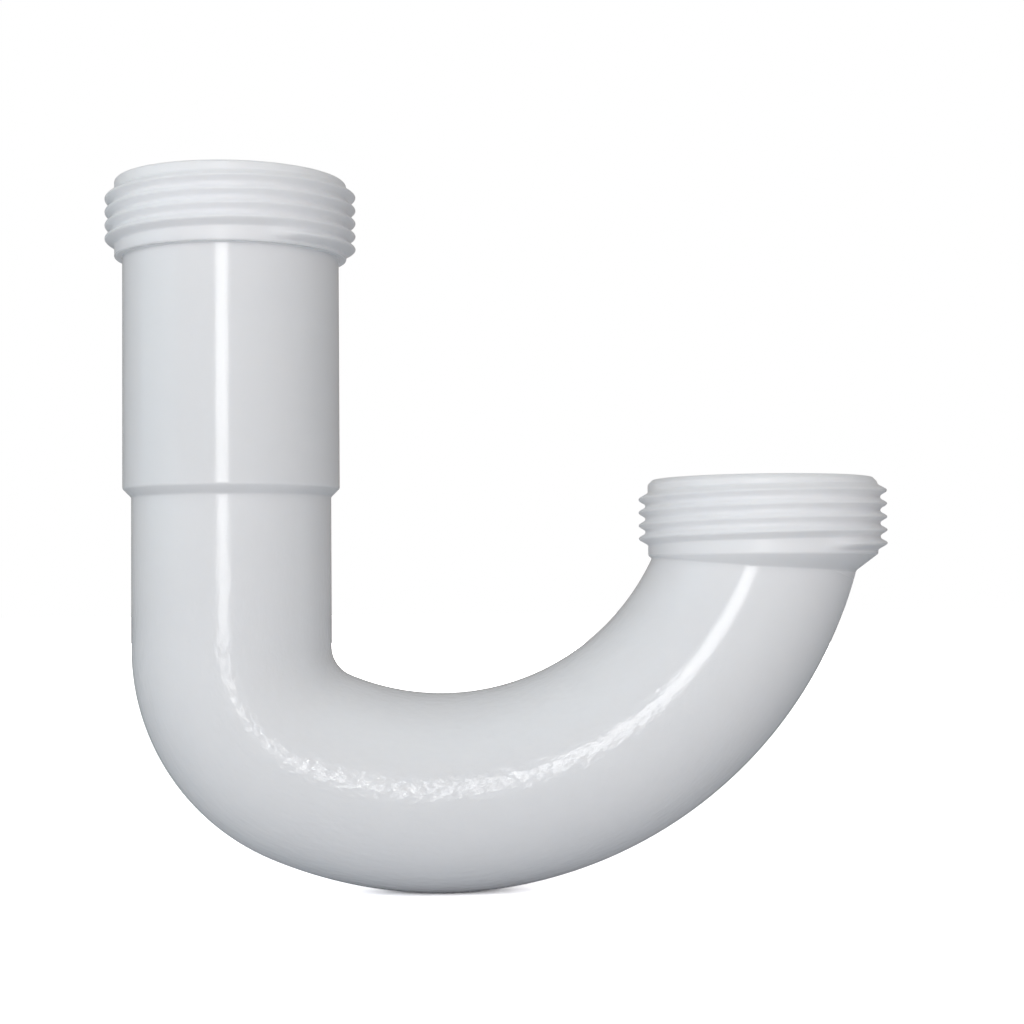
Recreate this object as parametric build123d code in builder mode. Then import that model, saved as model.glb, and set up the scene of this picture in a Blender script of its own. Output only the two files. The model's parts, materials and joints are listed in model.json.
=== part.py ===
from build123d import *
import os
from math import acos, cos, degrees, radians, sin, sqrt, tan

# Trap J-bend for a sink waste, one injection moulding.
# Millimetres. +Z is up, and the bend lies in the XZ plane with its outlet towards +X.
# The origin is the middle of the inlet's rim, on the axis of the inlet leg.

# Pipe
tube_od = 38.1
tube_wall = 1.7

# Slip sockets that the waste pipes enter
pipe_od = 38.1
slip_clearance = 0.25
socket_wall = 1.4
socket_depth = 59.1
outlet_socket_depth = 10.5
washer_seat = 1.4
bore_overrun = 0.25

# Line of the bend: a straight leg, a tight elbow and a long arc up to the outlet
leg_spread = 102.8
outlet_drop = 57.8
elbow_radius = 25.0
elbow_turn = 66.7
bend_end_angle = 76.0
bend_meets_outlet = 11.3

# Threaded collars: the inlet's has a square foot, the outlet's a cone under it
collar_root_od = 44.4
collar_height = 14.75
outlet_cone_angle = 53.0
inlet_rim_chamfer = 0.3
outlet_rim_chamfer = 0.9

# Right-hand thread for the slip nuts
thread_pitch = 2.54
thread_depth = 1.8
thread_crest_flat = 0.45
thread_root_flat = 0.1
thread_rim_gap = 2.2
thread_foot_gap = 1.65
thread_bottom_angle = -70.0
thread_sink = 0.5

# Radii that follow from the sizes above
tube_r = tube_od / 2
bore_r = tube_r - tube_wall
socket_bore_r = pipe_od / 2 + slip_clearance
socket_r = socket_bore_r + socket_wall
collar_r = collar_root_od / 2

# Heights along the inlet leg
collar_foot_z = -collar_height
step_top_z = -socket_depth
step_foot_z = step_top_z - (socket_r - tube_r)
socket_floor_z = step_top_z - socket_wall + socket_wall * sqrt(2)
bore_top_z = socket_floor_z - (socket_bore_r - bore_r)

# Outlet collar
outlet_rim_z = -outlet_drop
outlet_foot_z = outlet_rim_z - collar_height
outlet_apex_z = outlet_foot_z - collar_r / tan(radians(outlet_cone_angle))
outlet_floor_z = outlet_rim_z - outlet_socket_depth

# The arc's radius spans what the elbow leaves of the distance between the legs
elbow_cos = cos(radians(elbow_turn))
elbow_sin = sin(radians(elbow_turn))
elbow_reach = elbow_radius * (1 - elbow_cos)
bend_radius = (leg_spread - elbow_reach) / (sin(radians(bend_end_angle)) + elbow_cos)
bend_centre_x = elbow_reach + bend_radius * elbow_cos
bend_centre_z = outlet_rim_z - bend_meets_outlet + bend_radius * cos(radians(bend_end_angle))
elbow_end_z = bend_centre_z - bend_radius * elbow_sin
leg_end_z = elbow_end_z + elbow_radius * elbow_sin
bend_turn = 90 - elbow_turn + bend_end_angle

# The waterway runs on until its lower side clears the floor of the outlet socket
bore_end_z = outlet_floor_z + bore_overrun
bore_end_angle = degrees(acos((bend_centre_z - bore_end_z) / (bend_radius + bore_r)))
bore_turn = 90 - elbow_turn + bore_end_angle

# Planes and axes that the tube is turned through
leg_end = Plane.XY.offset(leg_end_z)
elbow_axis = Axis((elbow_radius, 0, leg_end_z), (0, -1, 0))
towards_bend_centre = (elbow_cos, 0, elbow_sin)
along_bend = (elbow_sin, 0, -elbow_cos)
elbow_end = Plane((elbow_reach, 0, elbow_end_z), x_dir=towards_bend_centre, z_dir=along_bend)
bend_axis = Axis((bend_centre_x, 0, bend_centre_z), (0, -1, 0))
outlet_plane = Plane((leg_spread, 0, 0), x_dir=(1, 0, 0), z_dir=(0, -1, 0))
outlet_axis = Axis((leg_spread, 0, 0), (0, 0, 1))

# Thread ridge: one trapezoid on a sunk foot, carried along a helix about the origin with the rim at Z = 0
thread_bottom_z = collar_foot_z + thread_foot_gap
thread_length = -thread_rim_gap - thread_bottom_z
thread_half_base = (thread_pitch - thread_root_flat) / 2
thread_half_crest = thread_crest_flat / 2

with BuildPart() as thread_ridge:
    with BuildLine() as thread_line:
        Helix(thread_pitch, thread_length, collar_r, center=(0, 0, thread_bottom_z))
    with BuildSketch(Plane(thread_line.line @ 0, x_dir=(1, 0, 0), z_dir=thread_line.line % 0)):
        with BuildLine():
            Polyline(
                (-thread_sink, -thread_half_base),
                (0, -thread_half_base),
                (thread_depth, -thread_half_crest),
                (thread_depth, thread_half_crest),
                (0, thread_half_base),
                (-thread_sink, thread_half_base),
                close=True,
            )
        make_face()
    sweep(path=thread_line.line, is_frenet=True)

with BuildPart() as j_bend:
    # Inlet leg: collar, slip socket, step and straight tube, as one turned profile
    with BuildSketch(Plane.XZ):
        with BuildLine():
            Polyline(
                (0, 0),
                (collar_r - inlet_rim_chamfer, 0),
                (collar_r, -inlet_rim_chamfer),
                (collar_r, collar_foot_z),
                (socket_r, collar_foot_z),
                (socket_r, step_top_z),
                (tube_r, step_foot_z),
                (tube_r, leg_end_z),
                (0, leg_end_z),
                close=True,
            )
        make_face()
    revolve(axis=Axis.Z)

    # Tight elbow at the foot of the leg, then the long arc
    with BuildSketch(leg_end):
        Circle(tube_r)
    revolve(axis=elbow_axis, revolution_arc=elbow_turn)
    with BuildSketch(elbow_end):
        Circle(tube_r)
    revolve(axis=bend_axis, revolution_arc=bend_turn)

    # Outlet collar, with a cone under it that runs into the tube
    with BuildSketch(outlet_plane):
        with BuildLine():
            Polyline(
                (0, outlet_rim_z),
                (collar_r - outlet_rim_chamfer, outlet_rim_z),
                (collar_r, outlet_rim_z - outlet_rim_chamfer),
                (collar_r, outlet_foot_z),
                (0, outlet_apex_z),
                close=True,
            )
        make_face()
    revolve(axis=outlet_axis)

    # The same thread on both collars
    for rim in ((0, 0, 0), (leg_spread, 0, outlet_rim_z)):
        with Locations(Location(rim, (0, 0, thread_bottom_angle))):
            add(thread_ridge.part)

    # Inlet bore: washer seat, slip socket, pipe stop and the tube's bore
    with BuildSketch(Plane.XZ):
        with BuildLine():
            Polyline(
                (0, washer_seat),
                (socket_bore_r + 2 * washer_seat, washer_seat),
                (socket_bore_r, -washer_seat),
                (socket_bore_r, socket_floor_z),
                (bore_r, bore_top_z),
                (bore_r, leg_end_z),
                (0, leg_end_z),
                close=True,
            )
        make_face()
    revolve(axis=Axis.Z, mode=Mode.SUBTRACT)

    # Waterway through the elbow and the arc
    with BuildSketch(leg_end):
        Circle(bore_r)
    revolve(axis=elbow_axis, revolution_arc=elbow_turn, mode=Mode.SUBTRACT)
    with BuildSketch(elbow_end):
        Circle(bore_r)
    revolve(axis=bend_axis, revolution_arc=bore_turn, mode=Mode.SUBTRACT)

    # Outlet bore: washer seat and a short straight socket
    with BuildSketch(outlet_plane):
        with BuildLine():
            Polyline(
                (0, outlet_rim_z + washer_seat),
                (socket_bore_r + 2 * washer_seat, outlet_rim_z + washer_seat),
                (socket_bore_r, outlet_rim_z - washer_seat),
                (socket_bore_r, outlet_floor_z),
                (0, outlet_floor_z),
                close=True,
            )
        make_face()
    revolve(axis=outlet_axis, mode=Mode.SUBTRACT)

j_bend.part.label = "j_bend"

os.makedirs("parts", exist_ok=True)
export_step(j_bend.part, "parts/j_bend.step")

print("bend radius", round(bend_radius, 2), "leg end", round(leg_end_z, 2), "bend centre", round(bend_centre_x, 2))
print("thread turns", round(thread_length / thread_pitch, 2))
print("volume", round(j_bend.part.volume / 1000, 2), "cm3", "solids", len(j_bend.part.solids()))
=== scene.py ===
"""Trap J-bend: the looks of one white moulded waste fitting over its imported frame, and a plain studio."""

import json
from types import SimpleNamespace

import bpy
import numpy as np
from bpy.props import FloatProperty, FloatVectorProperty, IntProperty, PointerProperty
from bpy.types import Operator, Panel, PropertyGroup
from mathutils import Matrix, Vector


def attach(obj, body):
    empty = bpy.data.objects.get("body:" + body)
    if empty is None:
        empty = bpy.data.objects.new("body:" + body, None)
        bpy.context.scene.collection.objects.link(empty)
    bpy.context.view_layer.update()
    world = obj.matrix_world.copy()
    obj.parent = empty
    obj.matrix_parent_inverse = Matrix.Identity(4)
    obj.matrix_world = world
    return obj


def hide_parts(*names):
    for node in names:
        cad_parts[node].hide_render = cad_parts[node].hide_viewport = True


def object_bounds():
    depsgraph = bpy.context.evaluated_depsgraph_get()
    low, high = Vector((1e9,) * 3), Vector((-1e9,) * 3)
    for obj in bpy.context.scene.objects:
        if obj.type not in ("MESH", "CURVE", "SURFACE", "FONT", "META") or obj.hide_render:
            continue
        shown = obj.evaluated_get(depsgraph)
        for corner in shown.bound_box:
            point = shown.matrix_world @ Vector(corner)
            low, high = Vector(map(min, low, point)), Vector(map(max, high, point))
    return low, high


bl_info = {
    "name": "Trap J-bend",
    "version": (1, 0, 0),
    "blender": (4, 5, 0),
    "location": "3D View > Sidebar > J-bend",
    "description": "A white moulded trap J-bend with two threaded collars, and a plain studio round it",
    "category": "Add Mesh",
}

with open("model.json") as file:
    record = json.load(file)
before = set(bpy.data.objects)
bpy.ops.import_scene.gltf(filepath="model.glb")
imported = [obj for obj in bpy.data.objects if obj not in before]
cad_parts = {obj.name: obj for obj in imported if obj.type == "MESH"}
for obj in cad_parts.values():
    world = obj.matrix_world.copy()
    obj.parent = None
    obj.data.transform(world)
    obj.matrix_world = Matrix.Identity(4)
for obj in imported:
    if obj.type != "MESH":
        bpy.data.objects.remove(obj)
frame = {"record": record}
CAD_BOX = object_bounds()

MM = 0.001
TAU = 2 * np.pi
MOUNTS = {mount["name"]: mount for mount in frame["record"]["mounts"]}
OUTLET_RIM = MOUNTS["outlet_thread"]["pos_m"]
SOCKET_BORE = MOUNTS["inlet_bore"]["dims"]["r_mm"] * MM
PLASTIC_COLOR = frame["record"]["materials"][0]["base_color"]

# A rounding takes at most this share of a side, and its support row stands this many roundings from it
LARGEST_CUT = 0.4
SUPPORT = 1.2
ROUND_POINTS = 6
LONGEST_SIDE = 4 * MM
NEAR = 0.001 * MM

# Rows of points along the tube, outside and in the bore
ELBOW_ROWS = 28
BEND_ROWS = 72
BEND_BORE_ROWS = 48
ELBOW_BORE_ROWS = 20

# The long arc meets the outlet's cone between these slopes, found by halving the interval
SEAM_SLOPES = np.radians((40, 89))
HALVINGS = 40


def length(label, description, size_mm):
    """A length property that is shown in the scene's units and given here in millimetres."""
    size = size_mm * MM
    return FloatProperty(name=label, description=description, default=size, unit="LENGTH", precision=5)


def turn(label, description, degrees):
    """An angle property that is given here in degrees."""
    return FloatProperty(name=label, description=description, default=np.radians(degrees), subtype="ANGLE")


def share(label, description, value):
    """A plain number from 0 to 1."""
    return FloatProperty(name=label, description=description, default=value, min=0, max=1, subtype="FACTOR")


def power(label, description, watts):
    """The power of a light."""
    return FloatProperty(name=label, description=description, default=watts, unit="POWER")


def position(label, description, metres):
    """A place in the scene."""
    return FloatVectorProperty(name=label, description=description, default=metres, subtype="TRANSLATION")


def colour(label, description, channels):
    """A colour with three channels from 0 to 1."""
    return FloatVectorProperty(
        name=label, description=description, default=channels, subtype="COLOR", min=0, max=1
    )


class JBendTube(PropertyGroup):
    """Line and walls of the tube, from the inlet's rim round to the outlet's rim."""

    tube_radius: length("Tube radius", "Outside radius of the bare tube", 19.05)
    tube_wall: length("Tube wall", "Wall of the bare tube", 1.7)
    socket_bore: length("Socket bore", "Radius that the waste pipe slips into", SOCKET_BORE / MM)
    socket_wall: length("Socket wall", "Wall of the slip socket", 1.4)
    socket_depth: length("Socket depth", "From the inlet's rim to the step under the socket", 59.1)
    outlet_socket_depth: length("Outlet socket depth", "Straight bore inside the outlet collar", 10.5)
    washer_seat: length("Washer seat", "Depth of the cone inside each rim", 1.4)
    leg_spread: length("Leg spread", "Distance between the two axes", OUTLET_RIM[0] / MM)
    outlet_drop: length("Outlet drop", "Outlet's rim below the inlet's rim", -OUTLET_RIM[2] / MM)
    elbow_radius: length("Elbow radius", "Centre line of the tight elbow", 25.0)
    elbow_turn: turn("Elbow turn", "How far the elbow turns the tube", 66.7)
    bend_end: turn("Bend end", "Slope of the long arc where it ends in the outlet", 76.0)
    bend_meets_outlet: length("Bend meets outlet", "Arc meets the outlet's axis this far below its rim", 11.3)
    columns: IntProperty(name="Columns", description="Points round the tube", default=144, min=24)


class JBendCollar(PropertyGroup):
    """The threaded collars: the inlet's has a square foot, the outlet's a cone under it."""

    root_radius: length("Root radius", "Collar without its thread", 22.2)
    height: length("Height", "From the rim to the foot of the collar", 14.75)
    cone_angle: turn("Cone angle", "Slope of the cone under the outlet's collar, from its axis", 53.0)
    inlet_chamfer: length("Inlet chamfer", "Chamfer on the outside of the inlet's rim", 0.3)
    outlet_chamfer: length("Outlet chamfer", "Chamfer on the outside of the outlet's rim", 0.9)
    edge_round: length("Edge rounding", "How far the moulded edges are rounded along each side", 0.3)
    thread_pitch: length("Thread pitch", "Rise of the thread in one turn", 2.54)
    thread_depth: length("Thread depth", "Height of the thread above the collar", 1.8)
    crest_flat: length("Crest flat", "Flat on the thread's crest", 0.45)
    root_flat: length("Root flat", "Flat between two turns", 0.1)
    root_rise: length("Root rise", "Rounded floor of the groove between two turns, above the collar", 0.5)
    thread_round: share("Thread rounding", "How much of each flank is rounded at its top and foot", 0.25)
    rim_gap: length("Rim gap", "Top end of the thread's line, below the rim", 2.2)
    foot_gap: length("Foot gap", "Bottom end of the thread's line, above the collar's foot", 1.65)
    bottom_angle: turn("Bottom angle", "Where the thread starts, about the collar's axis", -70.0)
    run_out: turn("Run-out", "Turn over which the thread rises from nothing at each end", 20.0)
    thread_row: length("Thread rows", "Distance between rows of points on the thread", 0.085)


class JBendPlastic(PropertyGroup):
    """White plastic with a soft gloss."""

    color: colour("Colour", "Colour of the plastic", PLASTIC_COLOR)
    roughness: share("Roughness", "Roughness of the moulded skin", 0.13)
    collar_roughness: share("Collar roughness", "Roughness of the duller skin on the collars", 0.32)
    drift: share("Roughness drift", "How far the roughness drifts from place to place", 0.04)
    glow: share("Glow", "How much light spreads inside the plastic", 0.7)
    glow_depth: length("Glow depth", "How far light spreads inside the plastic", 4.0)
    peel: length("Orange peel", "Height of the fine unevenness of the skin", 0.006)
    ripple: length("Ripple", "Height of the flow ripples on the leg and the bend", 0.1)
    sway: length("Sway", "Height of the long waves in the wall", 0.03)


class JBendStudio(PropertyGroup):
    """Camera and light."""

    lens: FloatProperty(name="Lens", description="Focal length of the camera", default=66.24, unit="CAMERA")
    camera_place: position("Camera", "Place of the camera", (0.03743, -0.36478, -0.07712))
    lamp_place: position("Lamp place", "Place of the bright softbox", (-0.07, -1.02, 0.125))
    pitch: turn("Pitch", "Camera's slope, upwards", 2.0773)
    yaw: turn("Yaw", "Camera's turn towards the outlet", 2.6008)
    roll: turn("Roll", "Camera's roll", -0.4649)
    key_power: power("Key", "Power of the soft light by the camera", 3.15)
    lamp_power: power("Lamp", "Power of the bright softbox", 0.88)
    lamp_fade: share("Lamp fade", "Power of the softbox under the bright one, as a share of its power", 0.85)
    lamp_width: length("Lamp width", "Width of the bright softbox", 225.0)
    lamp_height: length("Lamp height", "Height of the bright softbox", 170.0)
    top_power: power("Top", "Power of the soft light above", 1.1)
    side_power: power("Side", "Power of the soft light at the left", 2.15)
    back_power: power("Back", "Power of the soft light behind", 6.0)
    room: FloatProperty(name="Room", description="Brightness of the room's light", default=0.305, min=0)
    floor_color: colour("Floor", "Colour of the light that the floor sends back", (0.58, 0.6, 0.63))


# Curves and ramps


def smooth_ramp(x):
    """Nought below 0, one above 1, and between them 3x^2 - 2x^3."""
    t = np.clip(x, 0, 1)
    return t * t * (3 - 2 * t)


def soft_floor(x, width):
    """x above width, nought below minus width, and a parabola that joins them between."""
    return np.where(x > width, x, np.square(np.maximum(x + width, 0)) / (4 * width))


def parabola(start, corner, end, steps):
    """Points of the parabola that leaves start towards corner and comes into end from it."""
    t = np.linspace(0, 1, steps).reshape(-1, *[1] * np.ndim(start))
    return (1 - t) ** 2 * start + 2 * t * (1 - t) * corner + t**2 * end


def rounded_profile(corners, cut):
    """Profile through corners, each inner one rounded by a parabola that starts and ends a cut from it.

    A support point stands just outside each parabola, and long sides are divided, so flat sides stay flat.
    """
    corners = np.asarray(corners, float)
    middle = corners[1:-1]
    back = corners[:-2] - middle
    ahead = corners[2:] - middle
    back_length = np.linalg.norm(back, axis=1, keepdims=True)
    ahead_length = np.linalg.norm(ahead, axis=1, keepdims=True)
    reach = np.minimum(cut, LARGEST_CUT * np.minimum(back_length, ahead_length))
    back = back / back_length * reach
    ahead = ahead / ahead_length * reach
    curves = parabola(middle + back, middle, middle + ahead, ROUND_POINTS).swapaxes(0, 1)
    before = (middle + SUPPORT * back)[:, None]
    after = (middle + SUPPORT * ahead)[:, None]
    knots = np.concatenate([before, curves, after], axis=1)
    points = np.concatenate([corners[:1], knots.reshape(-1, 2), corners[-1:]])
    spans = np.linalg.norm(np.diff(points, axis=0), axis=1)
    parts = np.maximum(1, np.ceil(spans / LONGEST_SIDE)).astype(int)
    starts = np.repeat(np.arange(len(spans)), parts)
    steps_in = np.arange(parts.sum()) - np.repeat(np.cumsum(parts) - parts, parts)
    t = (steps_in / parts[starts])[:, None]
    return np.concatenate([points[starts] * (1 - t) + points[starts + 1] * t, points[-1:]])


# The line of the tube


def tube_line(tube):
    """Centre line: a straight leg down, a tight elbow and a long arc that ends on the outlet's axis.

    The arc's radius spans what the elbow leaves of the distance between the two axes.
    """
    line = SimpleNamespace()
    line.elbow_radius = tube.elbow_radius
    line.elbow_turn = tube.elbow_turn
    reach = tube.elbow_radius * (1 - np.cos(tube.elbow_turn))
    line.bend_radius = (tube.leg_spread - reach) / (np.sin(tube.bend_end) + np.cos(tube.elbow_turn))
    line.bend_start = tube.elbow_turn - np.pi / 2
    line.bend_x = reach + line.bend_radius * np.cos(tube.elbow_turn)
    meeting_z = -tube.outlet_drop - tube.bend_meets_outlet
    line.bend_z = meeting_z + line.bend_radius * np.cos(tube.bend_end)
    line.elbow_end_z = line.bend_z - line.bend_radius * np.sin(tube.elbow_turn)
    line.leg_end_z = line.elbow_end_z + tube.elbow_radius * np.sin(tube.elbow_turn)
    line.outlet_x = tube.leg_spread
    line.elbow_start_run = -line.leg_end_z
    line.bend_start_run = line.elbow_start_run + tube.elbow_radius * tube.elbow_turn
    line.meeting_run = line.bend_start_run + line.bend_radius * (tube.bend_end - line.bend_start)
    line.outlet_end_run = line.meeting_run + tube.bend_meets_outlet
    line.meeting_z = meeting_z
    return line


def elbow_ring(line, slope, radius, around):
    """Point of the elbow: its centre line at that slope, and a circle of that radius across it.

    The point lies radius times cos(around) inwards of the centre line and sin(around) sideways.
    """
    inward = radius * np.cos(around)
    x = line.elbow_radius * (1 - np.cos(slope)) + inward * np.cos(slope)
    y = radius * np.sin(around)
    z = line.leg_end_z - line.elbow_radius * np.sin(slope) + inward * np.sin(slope)
    return np.stack(np.broadcast_arrays(x, y, z), axis=-1)


def bend_ring(line, slope, radius, around):
    """Point of the long arc, as elbow_ring gives it for the elbow. Slope nought is the arc's lowest point."""
    inward = radius * np.cos(around)
    x = line.bend_x + (line.bend_radius - inward) * np.sin(slope)
    y = radius * np.sin(around)
    z = line.bend_z - (line.bend_radius - inward) * np.cos(slope)
    return np.stack(np.broadcast_arrays(x, y, z), axis=-1)


def leg_ring(radius, height, around):
    """Point of the leg, turned about its axis: x is radius times cos(around), y radius times sin(around)."""
    x = radius * np.cos(around)
    y = radius * np.sin(around)
    return np.stack(np.broadcast_arrays(x, y, height), axis=-1)


def outlet_ring(line, radius, height, around):
    """Point of the outlet collar, turned about its axis. Around nought faces the leg."""
    x = line.outlet_x - radius * np.cos(around)
    y = radius * np.sin(around)
    return np.stack(np.broadcast_arrays(x, y, height), axis=-1)


# The threaded collar


def thread_ridge(collar, angle, height):
    """Height of the thread above the collar, at an angle about its axis and a height against its rim.

    The ridge's line climbs one pitch a turn. Across it the ridge is a trapezoid with softened corners, and
    at each end it rises from nothing over the run-out. The turns under and over a point are added up, and
    where both are there the groove between them is filled to a rounded floor.
    """
    bottom = collar.foot_gap - collar.height
    turns = (-collar.rim_gap - bottom) / collar.thread_pitch
    first = np.mod(angle - collar.bottom_angle, TAU) / TAU
    level = (height - bottom) / collar.thread_pitch
    under = first + np.floor(level - first)
    along = np.stack([under, under + 1])
    half_base = (collar.thread_pitch - collar.root_flat) / 2
    half_crest = collar.crest_flat / 2
    off_line = collar.thread_pitch * np.abs(level - along)
    flank = soft_floor((half_base - off_line) / (half_base - half_crest), collar.thread_round)
    ridge = 1 - soft_floor(1 - flank, collar.thread_round)
    run_out = collar.run_out / TAU
    ends = smooth_ramp(along / run_out) * smooth_ramp((turns - along) / run_out)
    ridges = np.sum(ridge * ends, axis=0)
    filling = soft_floor(collar.root_rise / collar.thread_depth - ridges, collar.thread_round)
    return collar.thread_depth * (ridges + np.prod(ends, axis=0) * filling)


def collar_rows(tube, collar, chamfer):
    """Radius and height of the collar's rows, from the middle of its rim to its foot, without the thread.

    Close rows for the thread fill the collar between its two rounded edges.
    """
    seat_edge = tube.socket_bore + tube.washer_seat
    chamfer_edge = collar.root_radius - chamfer
    thread_top = -chamfer - SUPPORT * collar.edge_round
    thread_foot = SUPPORT * collar.edge_round - collar.height
    lip = [
        ((seat_edge + chamfer_edge) / 2, 0),
        (chamfer_edge, 0),
        (collar.root_radius, -chamfer),
        (collar.root_radius, -collar.height / 2),
    ]
    lip = rounded_profile(lip, collar.edge_round)
    count = int(round((thread_top - thread_foot) / collar.thread_row))
    height = np.linspace(thread_top, thread_foot, count + 1)
    threaded = np.stack([np.full_like(height, collar.root_radius), height], axis=1)
    return np.concatenate([lip[lip[:, 1] > thread_top + NEAR], threaded])


def seat_rows(tube, collar, chamfer, floor):
    """Radius and height of a slip socket's bore, from the rim's middle over the washer seat to its floor."""
    seat_edge = tube.socket_bore + tube.washer_seat
    chamfer_edge = collar.root_radius - chamfer
    corners = [
        ((seat_edge + chamfer_edge) / 2, 0),
        (seat_edge, 0),
        (tube.socket_bore, -tube.washer_seat),
        (tube.socket_bore, floor),
    ]
    return rounded_profile(corners, collar.edge_round)[1:]


# The whole skin, as one closed grid


def meet_cone(line, tube, collar, around):
    """Slope at which each column of the long arc meets the cone under the outlet collar."""
    foot_z = -tube.outlet_drop - collar.height
    low = np.full_like(around, SEAM_SLOPES[0])
    high = np.full_like(around, SEAM_SLOPES[1])
    for _ in range(HALVINGS):
        middle = (low + high) / 2
        x, y, z = np.moveaxis(bend_ring(line, middle, tube.tube_radius, around), -1, 0)
        cone = collar.root_radius - np.maximum(foot_z - z, 0) * np.tan(collar.cone_angle)
        inside = np.hypot(x - line.outlet_x, y) < cone
        low = np.where(inside, low, middle)
        high = np.where(inside, middle, high)
    return high


def leg_outside(tube, collar, line, around):
    """Inlet collar with its thread and square foot, slip socket, step and leg, as one turned profile."""
    rows = collar_rows(tube, collar, collar.inlet_chamfer)
    radius, height = rows[:, :1], rows[:, 1:]
    collar_part = leg_ring(radius + thread_ridge(collar, around, height), height, around)
    socket_radius = tube.socket_bore + tube.socket_wall
    step = socket_radius - tube.tube_radius
    corners = [
        (collar.root_radius, -collar.height / 2),
        (collar.root_radius, -collar.height),
        (socket_radius, -collar.height),
        (socket_radius, -tube.socket_depth),
        (tube.tube_radius, -tube.socket_depth - step),
        (tube.tube_radius, line.leg_end_z),
    ]
    below = rounded_profile(corners, collar.edge_round)
    below = below[below[:, 1] < rows[-1, 1] - NEAR]
    leg_part = leg_ring(below[:, :1], below[:, 1:], around)
    points = np.concatenate([collar_part, leg_part])
    return points, -points[..., 2]


def elbow_band(line, radius, around, rows, back=False):
    """Rows of the elbow, from the leg on or, for the bore, back to it."""
    slope = np.linspace(0, line.elbow_turn, rows + 1)[1:, None]
    slope = slope[::-1] if back else slope
    return elbow_ring(line, slope, radius, around), line.elbow_start_run + line.elbow_radius * slope


def bend_band(line, radius, around, end, rows, back=False):
    """Rows of the long arc up to a slope of its own for each column or, for the bore, back from there."""
    part = np.linspace(0, 1, rows + 1)[1:, None]
    slope = line.bend_start + part * (end - line.bend_start)
    slope = slope[::-1] if back else slope
    run = line.bend_start_run + line.bend_radius * (slope - line.bend_start)
    return bend_ring(line, slope, radius, around), run


def outlet_outside(tube, collar, line, around, seam_slope):
    """From the seam with the tube up the cone, round the outlet collar's foot and up its thread to the rim.

    The seam and the foot are rounded by parabolas, and each column keeps the angle where it meets the cone.
    """
    rim_z = -tube.outlet_drop
    seam = bend_ring(line, seam_slope, tube.tube_radius, around)
    angle = np.arctan2(seam[:, 1], line.outlet_x - seam[:, 0])
    foot = outlet_ring(line, collar.root_radius, rim_z - collar.height, angle)
    up_cone = foot - seam
    cone_length = np.linalg.norm(up_cone, axis=1, keepdims=True)
    up_cone = up_cone / cone_length
    cut = np.minimum(collar.edge_round, LARGEST_CUT * cone_length)
    bend_side = line.bend_radius - tube.tube_radius * np.cos(around)
    tube_end = bend_ring(line, seam_slope - cut[:, 0] / bend_side, tube.tube_radius, around)
    upright = np.array([0, 0, 1])
    seam_round = parabola(tube_end, seam, seam + cut * up_cone, ROUND_POINTS)[1:]
    foot_round = parabola(foot - cut * up_cone, foot, foot + cut * upright, ROUND_POINTS)
    rows = collar_rows(tube, collar, collar.outlet_chamfer)[::-1]
    radius, height = rows[:, :1], rows[:, 1:]
    ridge = thread_ridge(collar, np.pi - angle, height)
    collar_part = outlet_ring(line, radius + ridge, rim_z + height, angle)
    points = np.concatenate([seam_round, foot_round, collar_part])
    return points, line.meeting_run + points[..., 2] - line.meeting_z, angle


def outlet_inside(tube, collar, line, around, angle, bore, bore_slope):
    """Washer seat and socket of the outlet, its flat floor, and the rounded edge of the waterway in it."""
    rim_z = -tube.outlet_drop
    floor_z = rim_z - tube.outlet_socket_depth
    cut = collar.edge_round
    rows = seat_rows(tube, collar, collar.outlet_chamfer, -tube.outlet_socket_depth + cut)
    socket = outlet_ring(line, rows[:, :1], rim_z + rows[:, 1:], angle)
    corner = outlet_ring(line, tube.socket_bore, floor_z, angle)
    edge = bend_ring(line, bore_slope, bore, around)
    inward = edge - corner
    inward = inward / np.linalg.norm(inward, axis=1, keepdims=True)
    bend_side = line.bend_radius - bore * np.cos(around)
    bore_end = bend_ring(line, bore_slope - cut / bend_side, bore, around)
    floor_round = parabola(socket[-1], corner, corner + cut * inward, ROUND_POINTS)[1:]
    edge_round = parabola(edge - cut * inward, edge, bore_end, ROUND_POINTS)
    points = np.concatenate([socket, floor_round, edge_round])
    return points, line.meeting_run + points[..., 2] - line.meeting_z


def leg_inside(tube, collar, line, around, bore):
    """Bore of the leg, the pipe's stop, the slip socket and its washer seat, from the elbow up."""
    stop_top = tube.socket_wall * (np.sqrt(2) - 1) - tube.socket_depth
    stop_foot = stop_top - (tube.socket_bore - bore)
    corners = [(bore, line.leg_end_z), (bore, stop_foot), (tube.socket_bore, stop_top)]
    seat = seat_rows(tube, collar, collar.inlet_chamfer, stop_top / 2)[::-1]
    rows = np.concatenate([rounded_profile([*corners, seat[0]], collar.edge_round)[:-1], seat])
    points = leg_ring(rows[:, :1], rows[:, 1:], around)
    return points, -points[..., 2]


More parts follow.
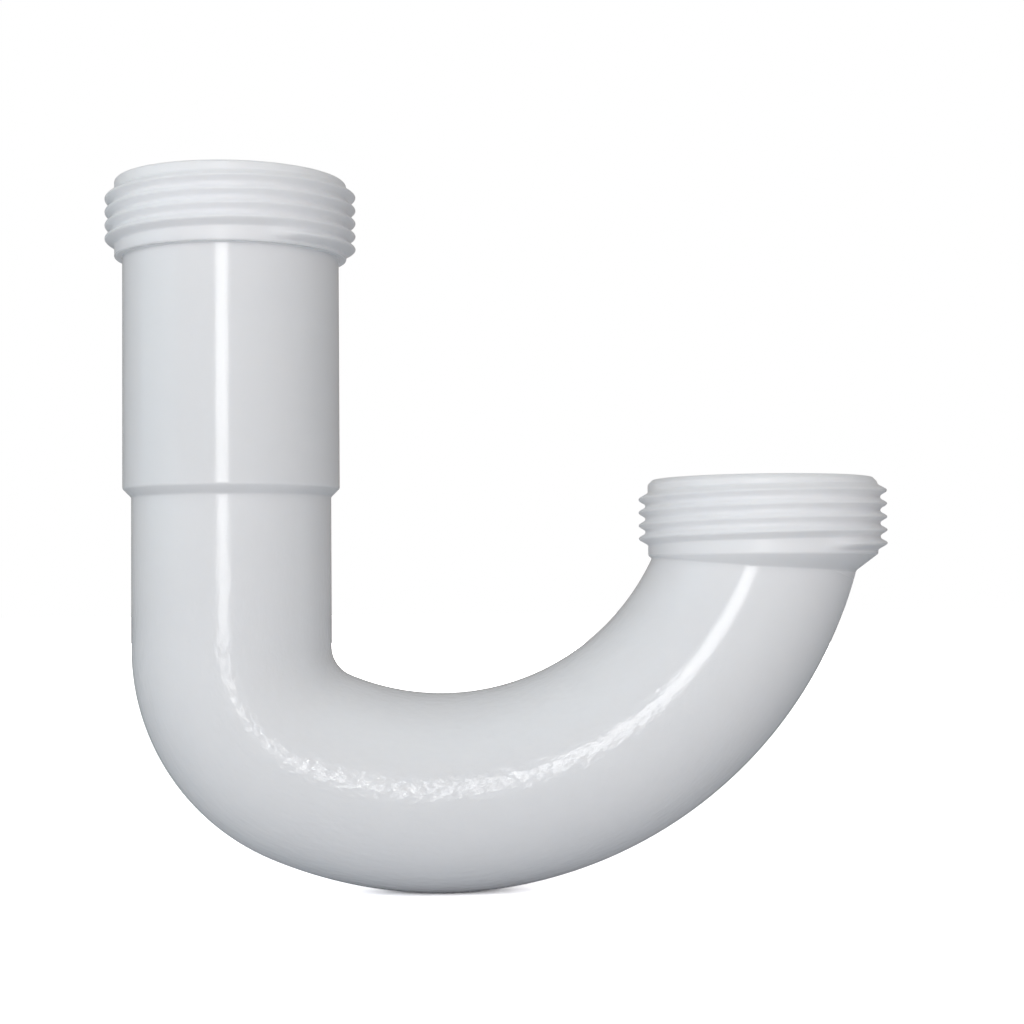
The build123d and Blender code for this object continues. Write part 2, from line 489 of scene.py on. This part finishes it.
def moulding_grid(tube, collar):
    """Points of the whole skin, and its flow: the same points with the tube laid out straight along Z.

    Rows run from the inlet's rim along the outside to the outlet's rim and back along the bore. The last
    row joins the first and the last column joins the first, so the grid is a closed wall.
    """
    line = tube_line(tube)
    around = np.linspace(0, TAU, tube.columns, endpoint=False)
    bore = tube.tube_radius - tube.tube_wall
    bend_side = line.bend_radius - tube.tube_radius * np.cos(around)
    seam_slope = meet_cone(line, tube, collar, around)
    tube_end = seam_slope - collar.edge_round / bend_side
    floor_z = -tube.outlet_drop - tube.outlet_socket_depth
    bore_slope = np.arccos((line.bend_z - floor_z) / (line.bend_radius - bore * np.cos(around)))
    bore_end = bore_slope - collar.edge_round / (line.bend_radius - bore * np.cos(around))
    outlet_points, outlet_run, angle = outlet_outside(tube, collar, line, around, seam_slope)
    bands = [
        leg_outside(tube, collar, line, around),
        elbow_band(line, tube.tube_radius, around, ELBOW_ROWS),
        bend_band(line, tube.tube_radius, around, tube_end, BEND_ROWS),
        (outlet_points, outlet_run),
        outlet_inside(tube, collar, line, around, angle, bore, bore_slope),
        [part[1:] for part in bend_band(line, bore, around, bore_end, BEND_BORE_ROWS, back=True)],
        elbow_band(line, bore, around, ELBOW_BORE_ROWS, back=True),
        leg_inside(tube, collar, line, around, bore),
    ]
    points = np.concatenate([band[0] for band in bands])
    run = np.concatenate([np.broadcast_to(band[1], band[0].shape[:2]) for band in bands])
    flow = leg_ring(tube.tube_radius, run, around)
    return points, flow


def closed_mesh(name, points, flow):
    """Mesh of a grid whose rows and columns both close on themselves, with its flow as a point attribute.

    The UV map lays the grid out flat, with its columns across and its rows upwards.
    """
    rows, columns = points.shape[:2]
    index = np.arange(rows * columns).reshape(rows, columns)
    below = np.roll(index, -1, axis=0)
    quads = np.stack([index, below, np.roll(below, -1, axis=1), np.roll(index, -1, axis=1)], axis=-1)
    mesh = bpy.data.meshes.new(name)
    mesh.vertices.add(rows * columns)
    mesh.vertices.foreach_set("co", points.astype(np.float32).ravel())
    mesh.loops.add(quads.size)
    mesh.loops.foreach_set("vertex_index", quads.astype(np.int32).ravel())
    mesh.polygons.add(rows * columns)
    mesh.polygons.foreach_set("loop_start", np.arange(0, quads.size, 4, dtype=np.int32))
    mesh.update(calc_edges=True)
    mesh.shade_smooth()
    row, column = np.divmod(index, columns)
    across = np.stack([column, column, column + 1, column + 1], axis=-1) / columns
    upwards = np.stack([row, row + 1, row + 1, row], axis=-1) / rows
    unrolled = mesh.uv_layers.new(name="unrolled")
    unrolled.data.foreach_set("uv", np.stack([across, upwards], axis=-1).astype(np.float32).ravel())
    attribute = mesh.attributes.new("flow", "FLOAT_VECTOR", "POINT")
    attribute.data.foreach_set("vector", flow.astype(np.float32).ravel())
    if mesh.validate():
        raise RuntimeError(f"{name} is not a sound mesh")
    return mesh


# The plastic

PLASTIC_IOR = 1.49
GLOW_REACH = (1.0, 0.95, 0.9)
DARKER = 0.97
PALER = 1.02

# Noise of each effect: scale, as waves in a metre, and detail
NOISES = {
    "cloud": (45.0, 3.0),
    "dull": (140.0, 4.0),
    "peel": (700.0, 2.0),
    "sway": (70.0, 1.0),
    "ripple": (850.0, 2.0),
}

# Ripples are drawn out along the flow, rise round the elbow's start and fall on the bend, in radii of each
RIPPLE_STRETCH = (1.0, 1.0, 0.5)
RIPPLE_RISE = (-2.0, 1.0)
RIPPLE_FALL = (1.0, 1.5)


def add_node(tree, kind, place, **settings):
    """A node of a tree at a place on its board. Settings are the node's own, or inputs by their name."""
    node = tree.nodes.new(kind)
    node.location = place
    for name, value in settings.items():
        if name in node.inputs:
            node.inputs[name].default_value = value
        else:
            setattr(node, name, value)
    return node


def add_noise(tree, name, place):
    """Noise node with the scale and detail that the table gives for the effect."""
    scale, detail = NOISES[name]
    return add_node(tree, "ShaderNodeTexNoise", place, Scale=scale, Detail=detail)


def add_ramp(tree, place, start, end, before, after):
    """Smooth step from one value before start to another after end."""
    node = add_node(tree, "ShaderNodeMapRange", place, interpolation_type="SMOOTHSTEP")
    node.inputs["From Min"].default_value = start
    node.inputs["From Max"].default_value = end
    node.inputs["To Min"].default_value = before
    node.inputs["To Max"].default_value = after
    return node


def white_plastic(plastic, collar, line):
    """White polypropylene: a soft gloss over a plastic that lets some light in.

    Three unevennesses bend its highlights: a fine peel all over, ripples that follow the flow on the leg and
    the bend, and long waves in the wall. Roughness and colour drift a little, and the collars are duller.
    """
    material = bpy.data.materials.new("white_plastic")
    material.use_nodes = True
    tree = material.node_tree
    tree.nodes.clear()
    link = tree.links.new
    output = add_node(tree, "ShaderNodeOutputMaterial", (900, 0))
    skin = add_node(tree, "ShaderNodeBsdfPrincipled", (600, 0))
    skin.inputs["IOR"].default_value = PLASTIC_IOR
    skin.inputs["Subsurface Weight"].default_value = plastic.glow
    skin.inputs["Subsurface Radius"].default_value = GLOW_REACH
    skin.inputs["Subsurface Scale"].default_value = plastic.glow_depth
    link(skin.outputs["BSDF"], output.inputs["Surface"])

    place = add_node(tree, "ShaderNodeTexCoord", (-1300, 0))
    flow = add_node(tree, "ShaderNodeAttribute", (-1300, -300), attribute_name="flow")
    run = add_node(tree, "ShaderNodeSeparateXYZ", (-1100, -900))
    link(flow.outputs["Vector"], run.inputs["Vector"])

    # Colour that drifts a little, as moulded white does
    cloud = add_noise(tree, "cloud", (-700, 500))
    tint = add_node(tree, "ShaderNodeMix", (-400, 500), data_type="RGBA")
    tint.inputs["A"].default_value = (*(DARKER * channel for channel in plastic.color), 1)
    tint.inputs["B"].default_value = (*(min(1.0, PALER * channel) for channel in plastic.color), 1)
    link(place.outputs["Object"], cloud.inputs["Vector"])
    link(cloud.outputs["Fac"], tint.inputs["Factor"])
    link(tint.outputs["Result"], skin.inputs["Base Color"])

    # Roughness that drifts too, and rises at each end of the run, on the collars
    dull = add_noise(tree, "dull", (-700, 200))
    drift = add_node(tree, "ShaderNodeMapRange", (-400, 200))
    drift.inputs["To Min"].default_value = -plastic.drift
    drift.inputs["To Max"].default_value = plastic.drift
    smooth, matt = plastic.roughness, plastic.collar_roughness
    inlet = add_ramp(tree, (-700, 0), collar.height - collar.edge_round, collar.height, matt, smooth)
    outlet_foot = line.outlet_end_run - collar.height
    outlet = add_ramp(tree, (-700, -120), outlet_foot, outlet_foot + collar.edge_round, smooth, matt)
    either = add_node(tree, "ShaderNodeMath", (-400, 0), operation="MAXIMUM")
    rough = add_node(tree, "ShaderNodeMath", (-200, 100), operation="ADD")
    link(place.outputs["Object"], dull.inputs["Vector"])
    link(dull.outputs["Fac"], drift.inputs["Value"])
    link(run.outputs["Z"], inlet.inputs["Value"])
    link(run.outputs["Z"], outlet.inputs["Value"])
    link(inlet.outputs["Result"], either.inputs[0])
    link(outlet.outputs["Result"], either.inputs[1])
    link(drift.outputs["Result"], rough.inputs[0])
    link(either.outputs["Value"], rough.inputs[1])
    link(rough.outputs["Value"], skin.inputs["Roughness"])

    # Unevenness of the skin, in metres
    peel = add_noise(tree, "peel", (-700, -250))
    sway = add_noise(tree, "sway", (-700, -450))
    along = add_node(tree, "ShaderNodeMapping", (-950, -650), Scale=RIPPLE_STRETCH)
    ripple = add_noise(tree, "ripple", (-700, -650))
    rise = [line.elbow_start_run + radii * line.elbow_radius for radii in RIPPLE_RISE]
    fall = [line.bend_start_run + radii * line.bend_radius for radii in RIPPLE_FALL]
    rising = add_ramp(tree, (-700, -850), *rise, 0.0, 1.0)
    falling = add_ramp(tree, (-700, -1100), *fall, 1.0, 0.0)
    on_bend = add_node(tree, "ShaderNodeMath", (-450, -900), operation="MULTIPLY")
    masked = add_node(tree, "ShaderNodeMath", (-250, -750), operation="MULTIPLY")
    peel_height = add_node(tree, "ShaderNodeMath", (-450, -250), operation="MULTIPLY")
    peel_height.inputs[1].default_value = plastic.peel
    sway_height = add_node(tree, "ShaderNodeMath", (-250, -450), operation="MULTIPLY_ADD")
    sway_height.inputs[1].default_value = plastic.sway
    ripple_height = add_node(tree, "ShaderNodeMath", (0, -550), operation="MULTIPLY_ADD")
    ripple_height.inputs[1].default_value = plastic.ripple
    bump = add_node(tree, "ShaderNodeBump", (300, -400), Strength=1.0, Distance=1.0)
    link(place.outputs["Object"], peel.inputs["Vector"])
    link(place.outputs["Object"], sway.inputs["Vector"])
    link(flow.outputs["Vector"], along.inputs["Vector"])
    link(along.outputs["Vector"], ripple.inputs["Vector"])
    link(run.outputs["Z"], rising.inputs["Value"])
    link(run.outputs["Z"], falling.inputs["Value"])
    link(rising.outputs["Result"], on_bend.inputs[0])
    link(falling.outputs["Result"], on_bend.inputs[1])
    link(ripple.outputs["Fac"], masked.inputs[0])
    link(on_bend.outputs["Value"], masked.inputs[1])
    link(peel.outputs["Fac"], peel_height.inputs[0])
    link(sway.outputs["Fac"], sway_height.inputs[0])
    link(peel_height.outputs["Value"], sway_height.inputs[2])
    link(masked.outputs["Value"], ripple_height.inputs[0])
    link(sway_height.outputs["Value"], ripple_height.inputs[2])
    link(ripple_height.outputs["Value"], bump.inputs["Height"])
    link(bump.outputs["Normal"], skin.inputs["Normal"])
    return material


class JBEND_OT_moulding(Operator):
    """Builds the whole J-bend as one closed moulding in white plastic"""

    bl_idname = "jbend.moulding"
    bl_label = "J-bend moulding"

    def execute(self, context):
        tube = context.scene.jbend_tube
        collar = context.scene.jbend_collar
        points, flow = moulding_grid(tube, collar)
        mesh = closed_mesh("j_bend_moulding", points, flow)
        mesh.materials.append(white_plastic(context.scene.jbend_plastic, collar, tube_line(tube)))
        piece = bpy.data.objects.new("j_bend_moulding", mesh)
        context.scene.collection.objects.link(piece)
        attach(piece, "root")
        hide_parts("j_bend")
        return {"FINISHED"}


# The studio

WHITE = (1.0, 1.0, 1.0)
COOL = (0.55, 0.86, 1.0)
ROSY = (1.0, 0.96, 0.945)

# Large soft lights: place from the object's middle and size, in metres, colour, and if gloss mirrors it
SOFTBOXES = {
    "key": ((-0.15, -0.8, 0.25), (0.9, 0.5), ROSY, False),
    "top": ((0.0, -0.5, 1.0), (1.2, 1.0), COOL, True),
    "side": ((-1.4, -0.3, 0.5), (1.4, 1.0), COOL, True),
    "back": ((0.3, 1.3, 0.3), (1.4, 1.0), ROSY, False),
}

# Half the floor's side, in metres, and how far past white the camera sees it, so that no shadow greys it
FLOOR_HALF = 3.0
FLOOR_GAIN = 1.2

SENSOR_WIDTH = 36.0
CLIP_START = 0.01


def floor_material(studio):
    """Pale floor, drawn white for the camera and less bright for the light that it sends back."""
    material = bpy.data.materials.new("pale_floor")
    material.use_nodes = True
    tree = material.node_tree
    tree.nodes.clear()
    output = add_node(tree, "ShaderNodeOutputMaterial", (600, 0))
    mix = add_node(tree, "ShaderNodeMixShader", (400, 0))
    path = add_node(tree, "ShaderNodeLightPath", (100, 300))
    returned = add_node(tree, "ShaderNodeBsdfDiffuse", (100, 0), Color=(*studio.floor_color, 1))
    seen = add_node(tree, "ShaderNodeBsdfDiffuse", (100, -200), Color=(*[FLOOR_GAIN / studio.room] * 3, 1))
    tree.links.new(path.outputs["Is Camera Ray"], mix.inputs["Fac"])
    tree.links.new(returned.outputs["BSDF"], mix.inputs[1])
    tree.links.new(seen.outputs["BSDF"], mix.inputs[2])
    tree.links.new(mix.outputs["Shader"], output.inputs["Surface"])
    return material


def add_floor(context, studio):
    """Flat square floor at the object's lowest point."""
    half = FLOOR_HALF
    height = CAD_BOX[0][2]
    corners = [(-half, -half, height), (half, -half, height), (half, half, height), (-half, half, height)]
    mesh = bpy.data.meshes.new("studio_floor")
    mesh.from_pydata(corners, [], [(0, 1, 2, 3)])
    mesh.materials.append(floor_material(studio))
    floor = bpy.data.objects.new("studio_floor", mesh)
    context.scene.collection.objects.link(floor)


def add_world(context, studio):
    """White background for the camera, and a softer even light from the room for everything else."""
    world = bpy.data.worlds.new("studio_room")
    world.use_nodes = True
    tree = world.node_tree
    tree.nodes.clear()
    output = add_node(tree, "ShaderNodeOutputWorld", (600, 0))
    mix = add_node(tree, "ShaderNodeMixShader", (400, 0))
    path = add_node(tree, "ShaderNodeLightPath", (100, 300))
    room = add_node(tree, "ShaderNodeBackground", (100, 0), Color=(*ROSY, 1), Strength=studio.room)
    seen = add_node(tree, "ShaderNodeBackground", (100, -200), Color=(*WHITE, 1), Strength=1.0)
    tree.links.new(path.outputs["Is Camera Ray"], mix.inputs["Fac"])
    tree.links.new(room.outputs["Background"], mix.inputs[1])
    tree.links.new(seen.outputs["Background"], mix.inputs[2])
    tree.links.new(mix.outputs["Shader"], output.inputs["Surface"])
    context.scene.world = world


def add_softbox(context, name, place, target, size, color, power):
    """Flat soft light at a place, facing a target."""
    data = bpy.data.lights.new(name, "AREA")
    data.shape = "RECTANGLE"
    data.size, data.size_y = size
    data.color = color
    data.energy = power
    light = bpy.data.objects.new(name, data)
    light.location = place
    light.rotation_euler = (Vector(target) - Vector(place)).to_track_quat("-Z", "Y").to_euler()
    context.scene.collection.objects.link(light)
    return light


def add_camera(context, studio):
    """Camera at its place, turned by yaw, then pitched up, then rolled."""
    data = bpy.data.cameras.new("camera")
    data.sensor_width = SENSOR_WIDTH
    data.lens = studio.lens
    data.clip_start = CLIP_START
    ahead = Vector((
        np.sin(studio.yaw) * np.cos(studio.pitch),
        np.cos(studio.yaw) * np.cos(studio.pitch),
        np.sin(studio.pitch),
    ))
    right = Vector((np.cos(studio.yaw), -np.sin(studio.yaw), 0))
    up = right.cross(ahead)
    rolled_right = np.cos(studio.roll) * right + np.sin(studio.roll) * up
    rolled_up = np.cos(studio.roll) * up - np.sin(studio.roll) * right
    camera = bpy.data.objects.new("camera", data)
    turned = Matrix((rolled_right, rolled_up, -ahead)).transposed()
    camera.matrix_world = Matrix.Translation(studio.camera_place) @ turned.to_4x4()
    context.scene.collection.objects.link(camera)
    context.scene.camera = camera


class JBEND_OT_studio(Operator):
    """Adds the pale floor, the soft light and the camera"""

    bl_idname = "jbend.studio"
    bl_label = "Studio"

    def execute(self, context):
        studio = context.scene.jbend_studio
        middle = (Vector(CAD_BOX[0]) + Vector(CAD_BOX[1])) / 2
        add_floor(context, studio)
        add_world(context, studio)
        lamp = Vector(studio.lamp_place)
        lamp_size = (studio.lamp_width, studio.lamp_height)
        under_lamp = lamp - Vector((0, 0, studio.lamp_height))
        fade_power = studio.lamp_fade * studio.lamp_power
        add_softbox(context, "lamp", lamp, middle, lamp_size, WHITE, studio.lamp_power)
        add_softbox(context, "lamp_fade", under_lamp, middle, lamp_size, WHITE, fade_power)
        for name, (offset, size, color, mirrored) in SOFTBOXES.items():
            power = getattr(studio, f"{name}_power")
            softbox = add_softbox(context, name, middle + Vector(offset), middle, size, color, power)
            softbox.visible_glossy = mirrored
        add_camera(context, studio)
        context.scene.view_settings.view_transform = "Standard"
        return {"FINISHED"}


class JBEND_PT_sidebar(Panel):
    """Sizes, finish and light of the J-bend"""

    bl_idname = "JBEND_PT_sidebar"
    bl_label = "Trap J-bend"
    bl_space_type = "VIEW_3D"
    bl_region_type = "UI"
    bl_category = "J-bend"

    def draw(self, context):
        layout = self.layout
        for operator, groups in PANEL_PARTS:
            for name in groups:
                box = layout.box()
                group = getattr(context.scene, name)
                for key in group.__annotations__:
                    box.prop(group, key)
            layout.operator(operator.bl_idname)


GROUPS = {
    "jbend_tube": JBendTube,
    "jbend_collar": JBendCollar,
    "jbend_plastic": JBendPlastic,
    "jbend_studio": JBendStudio,
}
PANEL_PARTS = (
    (JBEND_OT_moulding, ("jbend_tube", "jbend_collar", "jbend_plastic")),
    (JBEND_OT_studio, ("jbend_studio",)),
)
CLASSES = (*GROUPS.values(), JBEND_OT_moulding, JBEND_OT_studio, JBEND_PT_sidebar)


def register():
    for cls in CLASSES:
        bpy.utils.register_class(cls)
    for name, group in GROUPS.items():
        setattr(bpy.types.Scene, name, PointerProperty(type=group))


def unregister():
    for name in GROUPS:
        delattr(bpy.types.Scene, name)
    for cls in reversed(CLASSES):
        bpy.utils.unregister_class(cls)


def main():
    register()
    bpy.ops.jbend.moulding()
    bpy.ops.jbend.studio()


if __name__ == "__main__":
    main()
